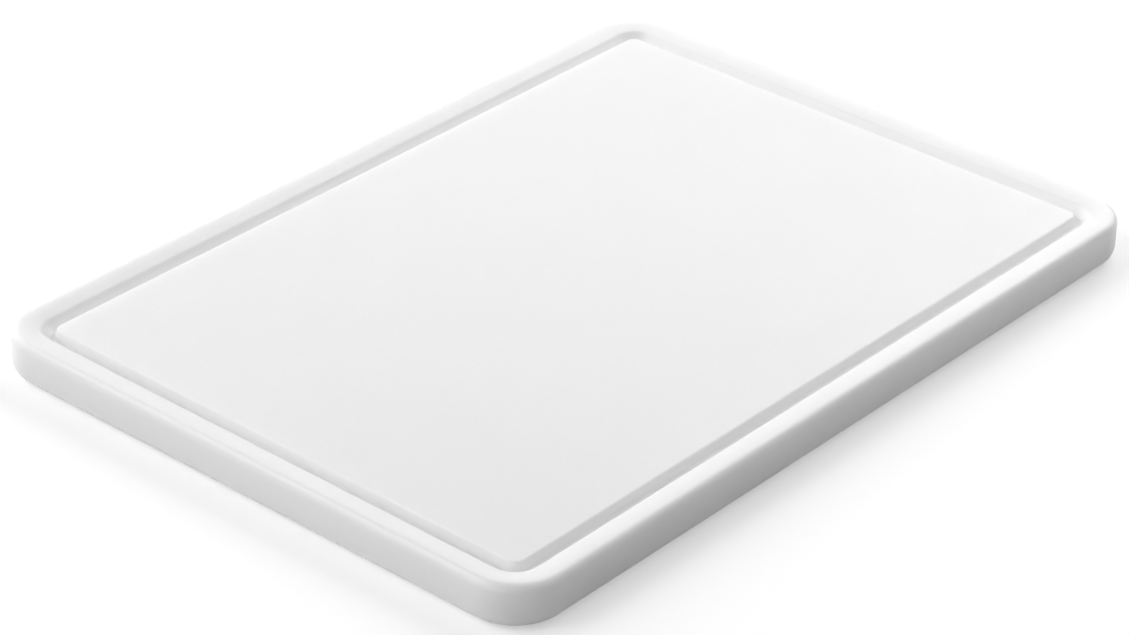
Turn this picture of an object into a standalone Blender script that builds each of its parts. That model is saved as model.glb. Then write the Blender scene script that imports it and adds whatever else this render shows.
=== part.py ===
# Grooved cutting board: one slab of white polyethylene, with a raised rim and a juice groove round its cutting field.
# Metres, +Z up. The origin is under the middle of the board, on the face that it lies on.
# X runs along the board's length and Y across it.

import math

import bmesh
import bpy
from mathutils import Matrix, Vector

# The slab
BOARD_LENGTH = 0.350
BOARD_WIDTH = 0.250
FIELD_THICKNESS = 0.0157
TOP_EDGE_RADIUS = 0.003
BASE_EDGE_RADIUS = 0.005

# The rim leans inwards, from a crest beside the top edge down to the groove's outer lip
RIM_RISE = 0.0013  # the crest above the cutting field
RIM_LEAN = 0.0011  # the lip below the crest
RIM_WIDTH = 0.0104  # from the board's side to the lip

# The juice groove: a sloping outer wall, a narrow floor and a steep inner wall
GROOVE_WIDTH = 0.0059  # from the rim's lip to the field's
GROOVE_DEPTH = 0.0036  # below the cutting field
OUTER_WALL_RUN = 0.0034  # how far each wall leans back over its height
INNER_WALL_RUN = 0.0009
RIM_LIP_RADIUS = 0.0022
GROOVE_FLOOR_RADIUS = 0.0008
FIELD_LIP_RADIUS = 0.0007

# The corners of the side, the rim, the groove and the field share one centre
FIELD_CORNER_RADIUS = 0.0037
CORNER_RADIUS = FIELD_CORNER_RADIUS + GROOVE_WIDTH + RIM_WIDTH

BOARD_THICKNESS = FIELD_THICKNESS + RIM_RISE

# How finely the round stretches are faceted
CORNER_STEPS = 14
EDGE_STEPS = 7
LIP_STEPS = 5

# Finish: colour, roughness and metallic value of the plastic
POLYETHYLENE_COLOUR = (0.90, 0.90, 0.90, 1.0)
POLYETHYLENE_ROUGHNESS = 0.42
POLYETHYLENE_METALLIC = 0.0
SMOOTH_ANGLE = math.radians(35)

SAME_HEIGHT = 1e-6


def clear_scene():
    for old in list(bpy.data.objects):
        bpy.data.objects.remove(old)


def polyethylene():
    material = bpy.data.materials.new("white_polyethylene")
    material.use_nodes = True
    shader = material.node_tree.nodes["Principled BSDF"]
    shader.inputs["Base Color"].default_value = POLYETHYLENE_COLOUR
    shader.inputs["Roughness"].default_value = POLYETHYLENE_ROUGHNESS
    shader.inputs["Metallic"].default_value = POLYETHYLENE_METALLIC
    return material


def round_edges(bm, edges, radius, steps):
    bmesh.ops.bevel(
        bm,
        geom=edges,
        offset=radius,
        offset_type="OFFSET",
        segments=steps,
        profile=0.5,
        affect="EDGES",
        material=-1,
    )


def is_upright(edge):
    low, high = edge.verts
    return abs(low.co.z - high.co.z) > BOARD_THICKNESS / 2


def lies_at(item, height):
    return all(abs(vert.co.z - height) < SAME_HEIGHT for vert in item.verts)


def blank(bm):
    """A rounded rectangle of the full height, with its top and base edges rounded over."""
    size = Vector((BOARD_LENGTH, BOARD_WIDTH, BOARD_THICKNESS))
    centre = Matrix.Translation((0, 0, BOARD_THICKNESS / 2))
    bmesh.ops.create_cube(bm, size=1, matrix=centre @ Matrix.Diagonal(size).to_4x4())
    round_edges(bm, [edge for edge in bm.edges if is_upright(edge)], CORNER_RADIUS, CORNER_STEPS)
    top = [edge for edge in bm.edges if lies_at(edge, BOARD_THICKNESS)]
    round_edges(bm, top, TOP_EDGE_RADIUS, EDGE_STEPS)
    base = [edge for edge in bm.edges if lies_at(edge, 0)]
    round_edges(bm, base, BASE_EDGE_RADIUS, EDGE_STEPS)


def rounded(before, corner, after, radius):
    """The points of an arc that rounds off a corner of the section."""
    arriving = (corner - before).normalized()
    leaving = (after - corner).normalized()
    turn = arriving.angle_signed(leaving)
    reach = radius * math.tan(abs(turn) / 2)
    start = corner - arriving * reach
    inward = Vector((-arriving.y, arriving.x)) * math.copysign(1, -turn)
    centre = start + inward * radius
    spoke = start - centre
    arc = []
    for step in range(LIP_STEPS + 1):
        turned = spoke.copy()
        turned.rotate(Matrix.Rotation(-turn * step / LIP_STEPS, 2))
        arc.append(centre + turned)
    return arc


def groove_section():
    """Points of (distance in from the board's side, height), from the rim's crest to the cutting field."""
    floor = FIELD_THICKNESS - GROOVE_DEPTH
    field_edge = RIM_WIDTH + GROOVE_WIDTH
    crest = Vector((TOP_EDGE_RADIUS, BOARD_THICKNESS))
    rim_lip = Vector((RIM_WIDTH, BOARD_THICKNESS - RIM_LEAN))
    outer_foot = Vector((RIM_WIDTH + OUTER_WALL_RUN, floor))
    inner_foot = Vector((field_edge - INNER_WALL_RUN, floor))
    field_lip = Vector((field_edge, FIELD_THICKNESS))
    field = Vector((field_edge + FIELD_CORNER_RADIUS, FIELD_THICKNESS))
    points = [crest]
    points += rounded(crest, rim_lip, outer_foot, RIM_LIP_RADIUS)
    points += rounded(rim_lip, outer_foot, inner_foot, GROOVE_FLOOR_RADIUS)
    points += rounded(outer_foot, inner_foot, field_lip, GROOVE_FLOOR_RADIUS)
    points += rounded(inner_foot, field_lip, field, FIELD_LIP_RADIUS)
    return points


def sink_groove(bm):
    """Steps the top face in and down along the section. The last step leaves the cutting field."""
    inside = next(face for face in bm.faces if lies_at(face, BOARD_THICKNESS))
    section = groove_section()
    for start, end in zip(section, section[1:]):
        bmesh.ops.inset_region(
            bm,
            faces=[inside],
            thickness=end.x - start.x,
            depth=end.y - start.y,
            use_even_offset=True,
            use_boundary=True,
        )


def cutting_board():
    bm = bmesh.new()
    blank(bm)
    sink_groove(bm)
    mesh = bpy.data.meshes.new("cutting_board")
    bm.to_mesh(mesh)
    bm.free()
    mesh.materials.append(polyethylene())
    mesh.shade_smooth()
    mesh.set_sharp_from_angle(angle=SMOOTH_ANGLE)
    board = bpy.data.objects.new("cutting_board", mesh)
    bpy.context.scene.collection.objects.link(board)


clear_scene()
cutting_board()
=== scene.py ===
# White polyethylene cutting board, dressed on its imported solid. Metres, +Z up.
import math

import bmesh
import bpy
from mathutils import Matrix, Vector


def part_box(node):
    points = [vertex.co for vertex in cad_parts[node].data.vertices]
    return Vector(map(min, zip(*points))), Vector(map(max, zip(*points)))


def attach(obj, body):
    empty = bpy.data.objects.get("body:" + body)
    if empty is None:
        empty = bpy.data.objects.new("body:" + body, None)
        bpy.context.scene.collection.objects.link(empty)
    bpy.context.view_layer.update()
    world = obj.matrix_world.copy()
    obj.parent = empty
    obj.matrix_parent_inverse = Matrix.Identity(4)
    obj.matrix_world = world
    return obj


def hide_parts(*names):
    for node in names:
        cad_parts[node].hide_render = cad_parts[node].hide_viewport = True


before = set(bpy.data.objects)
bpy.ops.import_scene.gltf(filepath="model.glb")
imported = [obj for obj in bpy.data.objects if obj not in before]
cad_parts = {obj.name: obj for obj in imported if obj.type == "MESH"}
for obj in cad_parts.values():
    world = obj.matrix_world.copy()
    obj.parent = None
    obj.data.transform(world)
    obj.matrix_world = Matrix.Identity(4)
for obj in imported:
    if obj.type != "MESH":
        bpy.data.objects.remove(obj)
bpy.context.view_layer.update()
boardLow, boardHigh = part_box("cutting_board")
print("frame loaded:", ", ".join(sorted(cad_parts)))

white = (1.0, 1.0, 1.0, 1.0)
levelWithin = 1e-6  # metres; points this close in height count as level
nodeGap = (190, -170)  # from one column and one row of a node tree to the next
noiseRange = (0.3, 0.7)  # where most of a noise's values lie


def addNode(tree, kind, column, row, **settings):
    node = tree.nodes.new(kind)
    node.location = (column * nodeGap[0], row * nodeGap[1])
    for name, value in settings.items():
        setattr(node, name, value)
    return node


# Source is a socket to link, or a plain value to set
def feed(tree, socket, source):
    if isinstance(source, bpy.types.NodeSocket):
        tree.links.new(source, socket)
    else:
        socket.default_value = source


def mathNode(tree, operation, column, row, *sources, clamp=False):
    node = addNode(tree, "ShaderNodeMath", column, row, operation=operation, use_clamp=clamp)
    for socket, source in zip(node.inputs, sources):
        feed(tree, socket, source)
    return node.outputs["Value"]


def vectorNode(tree, operation, column, row, *sources):
    node = addNode(tree, "ShaderNodeVectorMath", column, row, operation=operation)
    for socket, source in zip(node.inputs, sources):
        feed(tree, socket, source)
    return node.outputs["Value" if operation == "LENGTH" else "Vector"]


def rampNode(tree, column, row, value, fromLow, fromHigh, toLow=0.0, toHigh=1.0, soft=True):
    node = addNode(tree, "ShaderNodeMapRange", column, row)
    node.interpolation_type = "SMOOTHSTEP" if soft else "LINEAR"
    feed(tree, node.inputs["Value"], value)
    node.inputs["From Min"].default_value = fromLow
    node.inputs["From Max"].default_value = fromHigh
    feed(tree, node.inputs["To Min"], toLow)
    feed(tree, node.inputs["To Max"], toHigh)
    return node.outputs["Result"]


def noiseNode(tree, column, row, vector, scale, detail=3.0, roughness=0.5):
    node = addNode(tree, "ShaderNodeTexNoise", column, row)
    feed(tree, node.inputs["Vector"], vector)
    feed(tree, node.inputs["Scale"], scale)
    node.inputs["Detail"].default_value = detail
    node.inputs["Roughness"].default_value = roughness
    return node.outputs["Fac"]


# Noise stretched so that most of it runs from low to high
def spreadNoise(tree, column, row, vector, scale, low, high, detail, roughness):
    noise = noiseNode(tree, column - 1, row, vector, scale, detail, roughness)
    return rampNode(tree, column, row, noise, *noiseRange, low, high)


def newGroup(name, inputs, outputs):
    group = bpy.data.node_groups.new(name, "ShaderNodeTree")
    for socketName, socketType, value in inputs:
        socket = group.interface.new_socket(name=socketName, in_out="INPUT", socket_type=socketType)
        if value is not None:
            socket.default_value = value
    for socketName, socketType in outputs:
        group.interface.new_socket(name=socketName, in_out="OUTPUT", socket_type=socketType)
    entry = addNode(group, "NodeGroupInput", -2, 0)
    result = addNode(group, "NodeGroupOutput", 12, 0)
    return group, entry, result


def placeGroup(tree, group, column, row, **sources):
    node = addNode(tree, "ShaderNodeGroup", column, row, node_tree=group)
    for name, source in sources.items():
        feed(tree, node.inputs[name], source)
    return node


boardShape = {  # metres; insets are measured from the board's side, drops from the rim's crest
    "cornerRadius": 0.0200,
    "topEdgeRadius": 0.0030,
    "topEdgeDrop": 0.0034,  # the side starts to roll over this far below the crest
    "baseEdgeRadius": 0.0050,
    "crest": 0.0045,  # where the rim stops being level and starts to lean inwards
    "rimLip": 0.0104,
    "grooveOuterFoot": 0.0138,
    "grooveInnerFoot": 0.0154,
    "fieldLip": 0.0163,
    "rimLean": 0.0011,
    "fieldDrop": 0.0013,
    "grooveDrop": 0.0049,
    "crestRadius": 0.0150,
    "rimLipRadius": 0.0022,
    "grooveFloorRadius": 0.0008,
    "fieldLipRadius": 0.0008,
    "smoothAngle": 35,  # degrees; sharper edges keep a crease
    "cornerSteps": 28,
    "edgeSteps": 14,
    "lipSteps": 8,
}


def roundEdges(mesh, edges, radius, steps):
    bmesh.ops.bevel(mesh, geom=edges, offset=radius, offset_type="OFFSET", segments=steps,
                    profile=0.5, affect="EDGES", material=-1)


# Draws a rounding out downwards, so that the side rolls over slowly into the rim
def drawDown(mesh, height, radius, drop):
    for vert in mesh.verts:
        below = height - vert.co.z
        if below < radius + levelWithin:
            vert.co.z = height - below * drop / radius


def liesAt(item, height):
    return all(abs(vert.co.z - height) < levelWithin for vert in item.verts)


# Points of an arc that rounds off a corner of the section
def roundedCorner(before, corner, after, radius, steps):
    arriving = (corner - before).normalized()
    leaving = (after - corner).normalized()
    turn = arriving.angle_signed(leaving)
    reach = radius * math.tan(abs(turn) / 2)
    start = corner - arriving * reach
    inward = Vector((-arriving.y, arriving.x)) * math.copysign(1, -turn)
    centre = start + inward * radius
    arc = []
    for step in range(steps + 1):
        spoke = start - centre
        spoke.rotate(Matrix.Rotation(-turn * step / steps, 2))
        arc.append(centre + spoke)
    return arc


# (inset, height) points from the top edge, over the rim and through the groove, to the field
def topSection(shape, height):
    field = height - shape["fieldDrop"]
    floor = height - shape["grooveDrop"]
    corners = [
        Vector((shape["topEdgeRadius"], height)),
        Vector((shape["crest"], height)),
        Vector((shape["rimLip"], height - shape["rimLean"])),
        Vector((shape["grooveOuterFoot"], floor)),
        Vector((shape["grooveInnerFoot"], floor)),
        Vector((shape["fieldLip"], field)),
        Vector((shape["cornerRadius"], field)),
    ]
    radii = [shape[name] for name in ("crestRadius", "rimLipRadius", "grooveFloorRadius",
                                      "grooveFloorRadius", "fieldLipRadius")]
    points = corners[:1]
    for before, corner, after, radius in zip(corners, corners[1:], corners[2:], radii):
        points += roundedCorner(before, corner, after, radius, shape["lipSteps"])
    return points


def cuttingBoard(shape, low, high):
    height = high.z - low.z
    mesh = bmesh.new()
    place = Matrix.Translation((0, 0, height / 2)) @ Matrix.Diagonal(high - low).to_4x4()
    bmesh.ops.create_cube(mesh, size=1, matrix=place)
    upright = [edge for edge in mesh.edges if abs(edge.verts[0].co.z - edge.verts[1].co.z) > height / 2]
    roundEdges(mesh, upright, shape["cornerRadius"], shape["cornerSteps"])
    top = [edge for edge in mesh.edges if liesAt(edge, height)]
    roundEdges(mesh, top, shape["topEdgeRadius"], shape["edgeSteps"])
    drawDown(mesh, height, shape["topEdgeRadius"], shape["topEdgeDrop"])
    base = [edge for edge in mesh.edges if liesAt(edge, 0)]
    roundEdges(mesh, base, shape["baseEdgeRadius"], shape["edgeSteps"])
    inside = next(face for face in mesh.faces if liesAt(face, height))
    section = topSection(shape, height)
    for start, end in zip(section, section[1:]):
        step = end - start
        bmesh.ops.inset_region(mesh, faces=[inside], thickness=step.x, depth=step.y,
                               use_even_offset=True, use_boundary=True)
    data = bpy.data.meshes.new("cuttingBoard")
    mesh.to_mesh(data)
    mesh.free()
    data.shade_smooth()
    data.set_sharp_from_angle(angle=math.radians(shape["smoothAngle"]))
    board = bpy.data.objects.new("cuttingBoard", data)
    bpy.context.scene.collection.objects.link(board)
    return board


board = cuttingBoard(boardShape, boardLow, boardHigh)
print("board built:", len(board.data.polygons), "faces")


plasticLook = {
    "colour": 0.90,
    "fieldPaintedShade": 0.022,  # painted shade: how much darker the cutting field's colour is made than the rim's
    "cloud": 0.0030,  # slow drift of the colour over the sheet
    "cloudScale": 14.0,  # noise cells in a metre, here and below
    "mottle": 0.0040,  # fine mottle of the colour
    "mottleScale": 520.0,
    "roughness": 0.42,
    "roughnessSpread": 0.05,
    "glossScale": 60.0,
    "grainSize": 0.0006,
    "grainDepth": 0.000040,
    "cutterPitch": 0.0006,  # lines that the cutter left along the sides and the groove
    "cutterDepth": 0.000030,
    "chatterPitch": 0.0016,  # ripples across the sides
    "chatterDepth": 0.000003,
    "chatterScale": 60.0,
    "chatterWander": 30.0,  # radians that the ripples stray by
    "scratches": ((24, 0.070, 0.00030, 0.70), (-38, 0.050, 0.00026, 0.72), (81, 0.060, 0.00028, 0.73)),
    "scratchDepth": 0.000012,
    "scuffs": (-12, 0.120, 0.0030, 0.60),  # as each scratch: degrees, length, width and threshold
    "scuffRoughness": 0.08,
    "rubbedEdge": 0.07,  # how much smoother handling has left the edges
    "refraction": 1.52,
    "subsurface": 0.90,
    "subsurfaceReach": 0.0048,  # light bleeds this far through the milky plastic
}

maskFades = {  # metres, apart from the shares of the height
    "topShares": (0.5, 0.6),  # the side turns into the top between these
    "field": (0.0006, 0.0002),  # before and past the field's lip
    "groove": 0.0005,
    "sideEnd": 0.0004,
    "outerEdge": (0.0004, 0.0030, 0.0006),  # start, end and fade
    "lipReach": (0.0006, 0.0004),  # before and past the rim's lip
    "lipFade": 0.0004,
}

grainMix = {
    "smoothness": 0.9,
    "finer": 2.2,  # how much finer the noise is than the pebbles
}
hairlineSharpness = 12.0


# Distance in from the outline of a rounded rectangle, so that rims and grooves can be told apart
def insetGroup():
    group, entry, result = newGroup("insetFromSide", [
        ("Vector", "NodeSocketVector", None),
        ("Core", "NodeSocketVector", (0.155, 0.105, 0)),
        ("Corner Radius", "NodeSocketFloat", 0.02),
    ], [("Inset", "NodeSocketFloat")])
    outside = vectorNode(group, "ABSOLUTE", 0, 0, entry.outputs["Vector"])
    outside = vectorNode(group, "SUBTRACT", 1, 0, outside, entry.outputs["Core"])
    split = addNode(group, "ShaderNodeSeparateXYZ", 2, 1)
    feed(group, split.inputs["Vector"], outside)
    across = addNode(group, "ShaderNodeCombineXYZ", 3, 0)
    feed(group, across.inputs["X"], mathNode(group, "MAXIMUM", 2.5, 2, split.outputs["X"], 0.0))
    feed(group, across.inputs["Y"], mathNode(group, "MAXIMUM", 2.5, 3, split.outputs["Y"], 0.0))
    beyond = vectorNode(group, "LENGTH", 4, 0, across.outputs["Vector"])
    within = mathNode(group, "MAXIMUM", 3, 4, split.outputs["X"], split.outputs["Y"])
    within = mathNode(group, "MINIMUM", 4, 4, within, 0.0)
    signed = mathNode(group, "ADD", 5, 0, beyond, within)
    inset = mathNode(group, "SUBTRACT", 6, 0, entry.outputs["Corner Radius"], signed)
    feed(group, result.inputs["Inset"], inset)
    return group


# Fine pebbled grain of pressed sheet
def grainGroup():
    group, entry, result = newGroup("pressedGrain", [
        ("Vector", "NodeSocketVector", None),
        ("Size", "NodeSocketFloat", 0.001),
    ], [("Height", "NodeSocketFloat")])
    perMetre = mathNode(group, "DIVIDE", -1, 2, 1.0, entry.outputs["Size"])
    pebbles = addNode(group, "ShaderNodeTexVoronoi", 1, 0, feature="SMOOTH_F1")
    feed(group, pebbles.inputs["Vector"], entry.outputs["Vector"])
    feed(group, pebbles.inputs["Scale"], perMetre)
    pebbles.inputs["Smoothness"].default_value = grainMix["smoothness"]
    finer = mathNode(group, "MULTIPLY", 0, 3, perMetre, grainMix["finer"])
    fine = noiseNode(group, 1, 2, entry.outputs["Vector"], finer)
    feed(group, result.inputs["Height"], mathNode(group, "ADD", 3, 0, pebbles.outputs["Distance"], fine))
    return group


# Hairlines: long, thin streaks of noise that lie at the angle the pattern is turned to
def hairlineGroup():
    group, entry, result = newGroup("hairlines", [
        ("Vector", "NodeSocketVector", None),
        ("Turn", "NodeSocketVector", (0, 0, 0)),
        ("Length", "NodeSocketFloat", 0.05),
        ("Width", "NodeSocketFloat", 0.0005),
        ("Threshold", "NodeSocketFloat", 0.7),
    ], [("Mask", "NodeSocketFloat")])
    stretch = addNode(group, "ShaderNodeCombineXYZ", 0, 2)
    feed(group, stretch.inputs["X"], mathNode(group, "DIVIDE", -1, 2, 1.0, entry.outputs["Length"]))
    feed(group, stretch.inputs["Y"], mathNode(group, "DIVIDE", -1, 3, 1.0, entry.outputs["Width"]))
    turned = addNode(group, "ShaderNodeMapping", 1, 0)
    feed(group, turned.inputs["Vector"], entry.outputs["Vector"])
    feed(group, turned.inputs["Rotation"], entry.outputs["Turn"])
    feed(group, turned.inputs["Scale"], stretch.outputs["Vector"])
    streak = noiseNode(group, 3, 0, turned.outputs["Vector"], 1.0, 1.0, 0.4)
    over = mathNode(group, "SUBTRACT", 4, 0, streak, entry.outputs["Threshold"])
    mask = mathNode(group, "MULTIPLY", 5, 0, over, hairlineSharpness, clamp=True)
    feed(group, result.inputs["Mask"], mask)
    return group


def product(tree, column, row, *factors):
    result = factors[0]
    for step, factor in enumerate(factors[1:]):
        result = mathNode(tree, "MULTIPLY", column + step * 0.8, row, result, factor)
    return result


def total(tree, column, row, *terms):
    result = terms[0]
    for step, term in enumerate(terms[1:]):
        result = mathNode(tree, "ADD", column + step * 0.8, row, result, term)
    return result


# 1 within a band of insets, fading out over the given softness at both ends
def insetBand(tree, column, row, inset, start, end, softness):
    rising = rampNode(tree, column, row, inset, start - softness, start + softness)
    falling = rampNode(tree, column, row + 1, inset, end + softness, end - softness)
    return mathNode(tree, "MULTIPLY", column + 1, row, rising, falling)


# What tells the forms apart: the field, what was cut, the sides, the sheet's own faces and the rubbed edges
def boardMasks(tree, shape, inset, height, top):
    fromShare, toShare = maskFades["topShares"]
    onTop = rampNode(tree, 0, 2, height, fromShare * top, toShare * top)
    before, past = maskFades["field"]
    field = rampNode(tree, 0, 0, inset, shape["fieldLip"] - before, shape["fieldLip"] + past)
    field = mathNode(tree, "MULTIPLY", 2, 0, field, onTop)
    groove = insetBand(tree, 1, 2, inset, shape["rimLip"], shape["fieldLip"], maskFades["groove"])
    groove = mathNode(tree, "MULTIPLY", 4, 2, groove, onTop)
    side = rampNode(tree, 2, 4, inset, shape["topEdgeRadius"], maskFades["sideEnd"])
    cut = mathNode(tree, "MAXIMUM", 4, 4, side, groove)
    sheet = mathNode(tree, "SUBTRACT", 5, 4, 1.0, cut, clamp=True)
    edge = insetBand(tree, 2, 6, inset, *maskFades["outerEdge"])
    edge = mathNode(tree, "MULTIPLY", 5, 6, edge, onTop)
    before, past = maskFades["lipReach"]
    lip = insetBand(tree, 2, 8, inset, shape["rimLip"] - before, shape["rimLip"] + past, maskFades["lipFade"])
    lip = mathNode(tree, "MULTIPLY", 5, 8, lip, onTop)
    rubbed = mathNode(tree, "MAXIMUM", 7, 6, edge, lip)
    return {"field": field, "cut": cut, "side": side, "sheet": sheet, "rubbed": rubbed}


# A slow drift over the sheet, a fine mottle, and painted shade that makes the field's colour darker than the
# rim's
def plasticTone(tree, look, place, masks):
    drift = spreadNoise(tree, 6, 0, place, look["cloudScale"], -look["cloud"], look["cloud"],
                        detail=4.0, roughness=0.55)
    speck = spreadNoise(tree, 6, 1, place, look["mottleScale"], -look["mottle"], look["mottle"],
                        detail=3.0, roughness=0.6)
    # painted shade: the field's colour is darkened below the rim's
    paintedShade = mathNode(tree, "MULTIPLY", 6, 2, masks["field"], -look["fieldPaintedShade"])
    tone = total(tree, 8, 0, drift, speck, paintedShade, look["colour"])
    colour = addNode(tree, "ShaderNodeCombineColor", 11, 0)
    for channel in ("Red", "Green", "Blue"):
        feed(tree, colour.inputs[channel], tone)
    return colour.outputs["Color"]


# Ripples that run across the sides and stray a little
def chatterWaves(tree, look, place, split):
    lap = mathNode(tree, "ADD", 5, 11, split.outputs["X"], split.outputs["Y"])
    lap = mathNode(tree, "MULTIPLY", 6, 12, lap, math.tau / look["chatterPitch"])
    wander = noiseNode(tree, 5, 12, place, look["chatterScale"], detail=2.0)
    wander = mathNode(tree, "MULTIPLY", 6, 13, wander, look["chatterWander"])
    return mathNode(tree, "SINE", 8, 11, mathNode(tree, "ADD", 6, 11, lap, wander))


def placeHairlines(tree, hairlines, row, place, line):
    angle, length, width, threshold = line
    sources = {"Vector": place, "Turn": (0, 0, math.radians(angle)),
               "Length": length, "Width": width, "Threshold": threshold}
    return placeGroup(tree, hairlines, 6, row, **sources).outputs["Mask"]


# Pressed grain on the sheet's own faces, cutter lines and chatter where it was routed, scratches on the field
def plasticRelief(tree, look, place, split, inset, hairlines, masks):
    grain = placeGroup(tree, grainGroup(), 6, 4, **{"Vector": place, "Size": look["grainSize"]}).outputs["Height"]
    along = addNode(tree, "ShaderNodeCombineXYZ", 5, 9)
    feed(tree, along.inputs["X"], inset)
    feed(tree, along.inputs["Z"], split.outputs["Z"])
    cutter = noiseNode(tree, 6, 9, along.outputs["Vector"], 1 / look["cutterPitch"], detail=2.0)
    chatter = chatterWaves(tree, look, place, split)
    lines = [placeHairlines(tree, hairlines, 15 + row, place, line) for row, line in enumerate(look["scratches"])]
    scratched = lines[0]
    for step, line in enumerate(lines[1:]):
        scratched = mathNode(tree, "MAXIMUM", 7 + step, 15, scratched, line)
    height = total(tree, 12, 6,
                   product(tree, 8, 4, grain, masks["sheet"], look["grainDepth"]),
                   product(tree, 8, 9, cutter, masks["cut"], look["cutterDepth"]),
                   product(tree, 9, 11, chatter, masks["side"], look["chatterDepth"]),
                   product(tree, 10, 15, scratched, masks["field"], -look["scratchDepth"]))
    bump = addNode(tree, "ShaderNodeBump", 15, 6)
    feed(tree, bump.inputs["Height"], height)
    bump.inputs["Distance"].default_value = 1.0
    bump.inputs["Strength"].default_value = 1.0
    return bump.outputs["Normal"]


# Uneven gloss, dry scuffs on the field, edges rubbed smooth
def plasticFinish(tree, look, place, hairlines, masks):
    scuffs = placeHairlines(tree, hairlines, 19, place, look["scuffs"])
    spread = look["roughnessSpread"]
    uneven = spreadNoise(tree, 7, 20, place, look["glossScale"], look["roughness"] - spread,
                         look["roughness"] + spread, detail=4.0, roughness=0.6)
    return total(tree, 12, 19, uneven,
                 product(tree, 8, 19, scuffs, masks["field"], look["scuffRoughness"]),
                 product(tree, 8, 21, masks["rubbed"], -look["rubbedEdge"]))


def whitePolyethylene(look, shape, low, high):
    material = bpy.data.materials.new("whitePolyethylene")
    material.use_nodes = True
    tree = material.node_tree
    shader = tree.nodes["Principled BSDF"]
    shader.location = (3000, 0)
    tree.nodes["Material Output"].location = (3300, 0)
    shader.inputs["Subsurface Weight"].default_value = look["subsurface"]
    shader.inputs["Subsurface Radius"].default_value = (1.0, 1.0, 1.0)
    shader.inputs["Subsurface Scale"].default_value = look["subsurfaceReach"]
    shader.inputs["IOR"].default_value = look["refraction"]

    place = addNode(tree, "ShaderNodeTexCoord", -3, 0).outputs["Object"]
    corner = shape["cornerRadius"]
    core = Vector(((high.x - low.x) / 2 - corner, (high.y - low.y) / 2 - corner, 0))
    sources = {"Vector": place, "Core": core, "Corner Radius": corner}
    inset = placeGroup(tree, insetGroup(), -1, 0, **sources).outputs["Inset"]
    split = addNode(tree, "ShaderNodeSeparateXYZ", -1, 3)
    feed(tree, split.inputs["Vector"], place)
    masks = boardMasks(tree, shape, inset, split.outputs["Z"], high.z)

    hairlines = hairlineGroup()
    feed(tree, shader.inputs["Base Color"], plasticTone(tree, look, place, masks))
    feed(tree, shader.inputs["Normal"], plasticRelief(tree, look, place, split, inset, hairlines, masks))
    feed(tree, shader.inputs["Roughness"], plasticFinish(tree, look, place, hairlines, masks))
    return material


board.data.materials.append(whitePolyethylene(plasticLook, boardShape, boardLow, boardHigh))
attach(board, "root")
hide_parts("cutting_board")
print("plastic made")


stageLook = {
    "floorSize": 8.0,
    "floorColour": 0.80,
    "floorRise": 0.0001,  # the board sinks in by this much, so its base and the floor don't lie in one plane
    "floorRoughness": 0.9,
    "glow": 0.37,  # lifts the seen floor to paper white
}


def whiteStage(look):
    mesh = bmesh.new()
    bmesh.ops.create_grid(mesh, x_segments=1, y_segments=1, size=look["floorSize"] / 2)
    data = bpy.data.meshes.new("paleFloor")
    mesh.to_mesh(data)
    mesh.free()
    floor = bpy.data.objects.new("paleFloor", data)
    floor.location.z = look["floorRise"]
    bpy.context.scene.collection.objects.link(floor)
    material = bpy.data.materials.new("palePaper")
    material.use_nodes = True
    tree = material.node_tree
    shader = tree.nodes["Principled BSDF"]
    shader.inputs["Base Color"].default_value = (look["floorColour"],) * 3 + (1.0,)
    shader.inputs["Roughness"].default_value = look["floorRoughness"]
    shader.inputs["Specular IOR Level"].default_value = 0.0
    seen = seenRay(tree)
    feed(tree, shader.inputs["Emission Strength"], mathNode(tree, "MULTIPLY", 3, 3, seen, look["glow"]))
    shader.inputs["Emission Color"].default_value = white
    data.materials.append(material)


# 1 for what the camera sees, straight or in a reflection or through glass
def seenRay(tree):
    path = addNode(tree, "ShaderNodeLightPath", 0, 3)
    seen = mathNode(tree, "ADD", 1, 3, path.outputs["Is Camera Ray"], path.outputs["Is Glossy Ray"])
    return mathNode(tree, "ADD", 2, 3, seen, path.outputs["Is Transmission Ray"], clamp=True)


whiteStage(stageLook)
print("floor laid")


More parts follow.
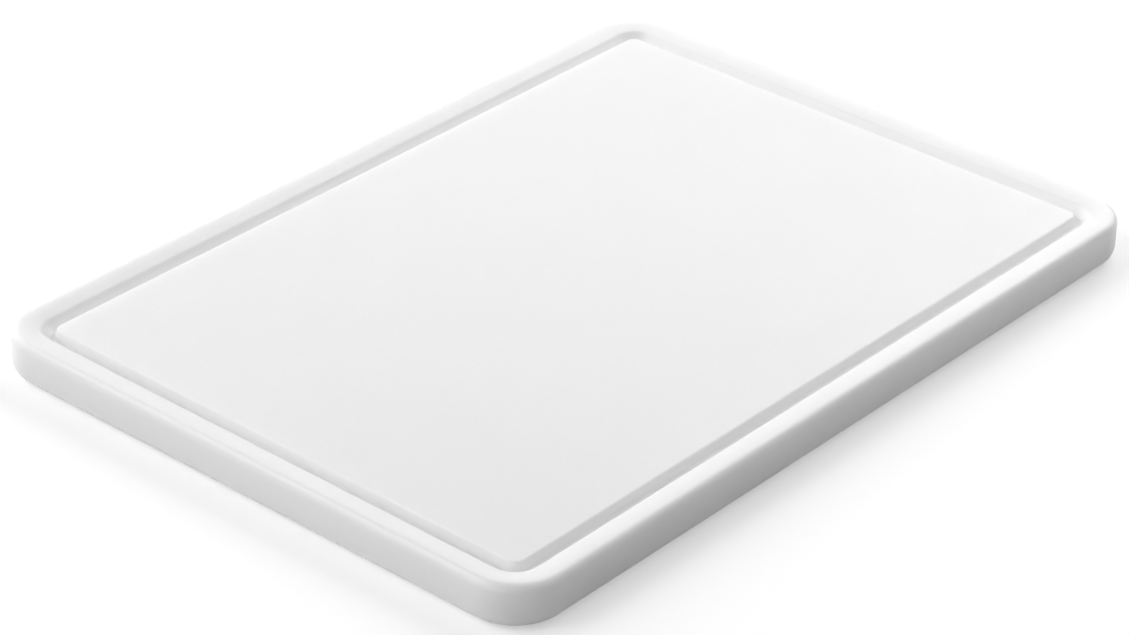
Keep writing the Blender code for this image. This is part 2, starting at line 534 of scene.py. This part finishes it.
studio = {
    "air": 0.0,  # even light from all round
    # azimuth from +X towards +Y and elevation, as seen from the board, then distance, size and watts
    "lamps": {
        "rightLamp": (0, 38, 1.5, 1.1, 11.6),
        "backRightLamp": (45, 34, 2.0, 1.5, 7.6),
        "lowBackLamp": (90, 18, 2.0, 1.2, 11.5),
        "backLeftLamp": (135, 42, 3.0, 2.2, 48.0),
        "lowLeftLamp": (180, 18, 3.0, 1.7, 16.4),
        "nearRightFill": (295, 42, 2.0, 1.5, 4.9),
        "underLamp": (0, -90, 2.0, 1.5, 30.0),  # under the floor, for a look at the board's underside
    },
}


def lightStudio(look):
    world = bpy.data.worlds.new("studioAir")
    world.use_nodes = True
    tree = world.node_tree
    air = tree.nodes["Background"]
    air.inputs["Color"].default_value = white
    seen = seenRay(tree)
    feed(tree, air.inputs["Strength"], rampNode(tree, 3, 3, seen, 0.0, 1.0, look["air"], 1.0, soft=False))
    bpy.context.scene.world = world
    for name, (azimuth, elevation, distance, size, watts) in look["lamps"].items():
        lamp = bpy.data.lights.new(name, "AREA")
        lamp.shape = "SQUARE"
        lamp.size = size
        lamp.energy = watts
        turn, rise = math.radians(azimuth), math.radians(elevation)
        level = math.cos(rise)
        direction = Vector((level * math.cos(turn), level * math.sin(turn), math.sin(rise)))
        holder = bpy.data.objects.new(name, lamp)
        holder.location = direction * distance
        holder.rotation_euler = direction.to_track_quat("Z", "Y").to_euler()
        bpy.context.scene.collection.objects.link(holder)


lightStudio(studio)
print("lamps set:", ", ".join(studio["lamps"]))


cameraView = {
    "aim": (-0.00858, 0.00036, -0.001),
    "distance": 1.38664,
    "heading": 49.811,  # degrees from +Y towards +X
    "elevation": 30.454,
    "roll": 1.418,
    "lens": 121.585,  # millimetres, as is the sensor
    "sensor": 36.0,
}


def aimCamera(view):
    lens = bpy.data.cameras.new("photoCamera")
    lens.lens = view["lens"]
    lens.sensor_width = view["sensor"]
    camera = bpy.data.objects.new("photoCamera", lens)
    turned = Matrix.Rotation(math.radians(-view["heading"]), 4, "Z")
    tilted = Matrix.Rotation(math.radians(90 - view["elevation"]), 4, "X")
    rolled = Matrix.Rotation(math.radians(view["roll"]), 4, "Z")
    back = Matrix.Translation((0, 0, view["distance"]))
    camera.matrix_world = Matrix.Translation(view["aim"]) @ turned @ tilted @ rolled @ back
    bpy.context.scene.collection.objects.link(camera)
    bpy.context.scene.camera = camera


aimCamera(cameraView)
bpy.context.scene.view_settings.view_transform = "Standard"
print("camera aimed")

bpy.context.view_layer.update()
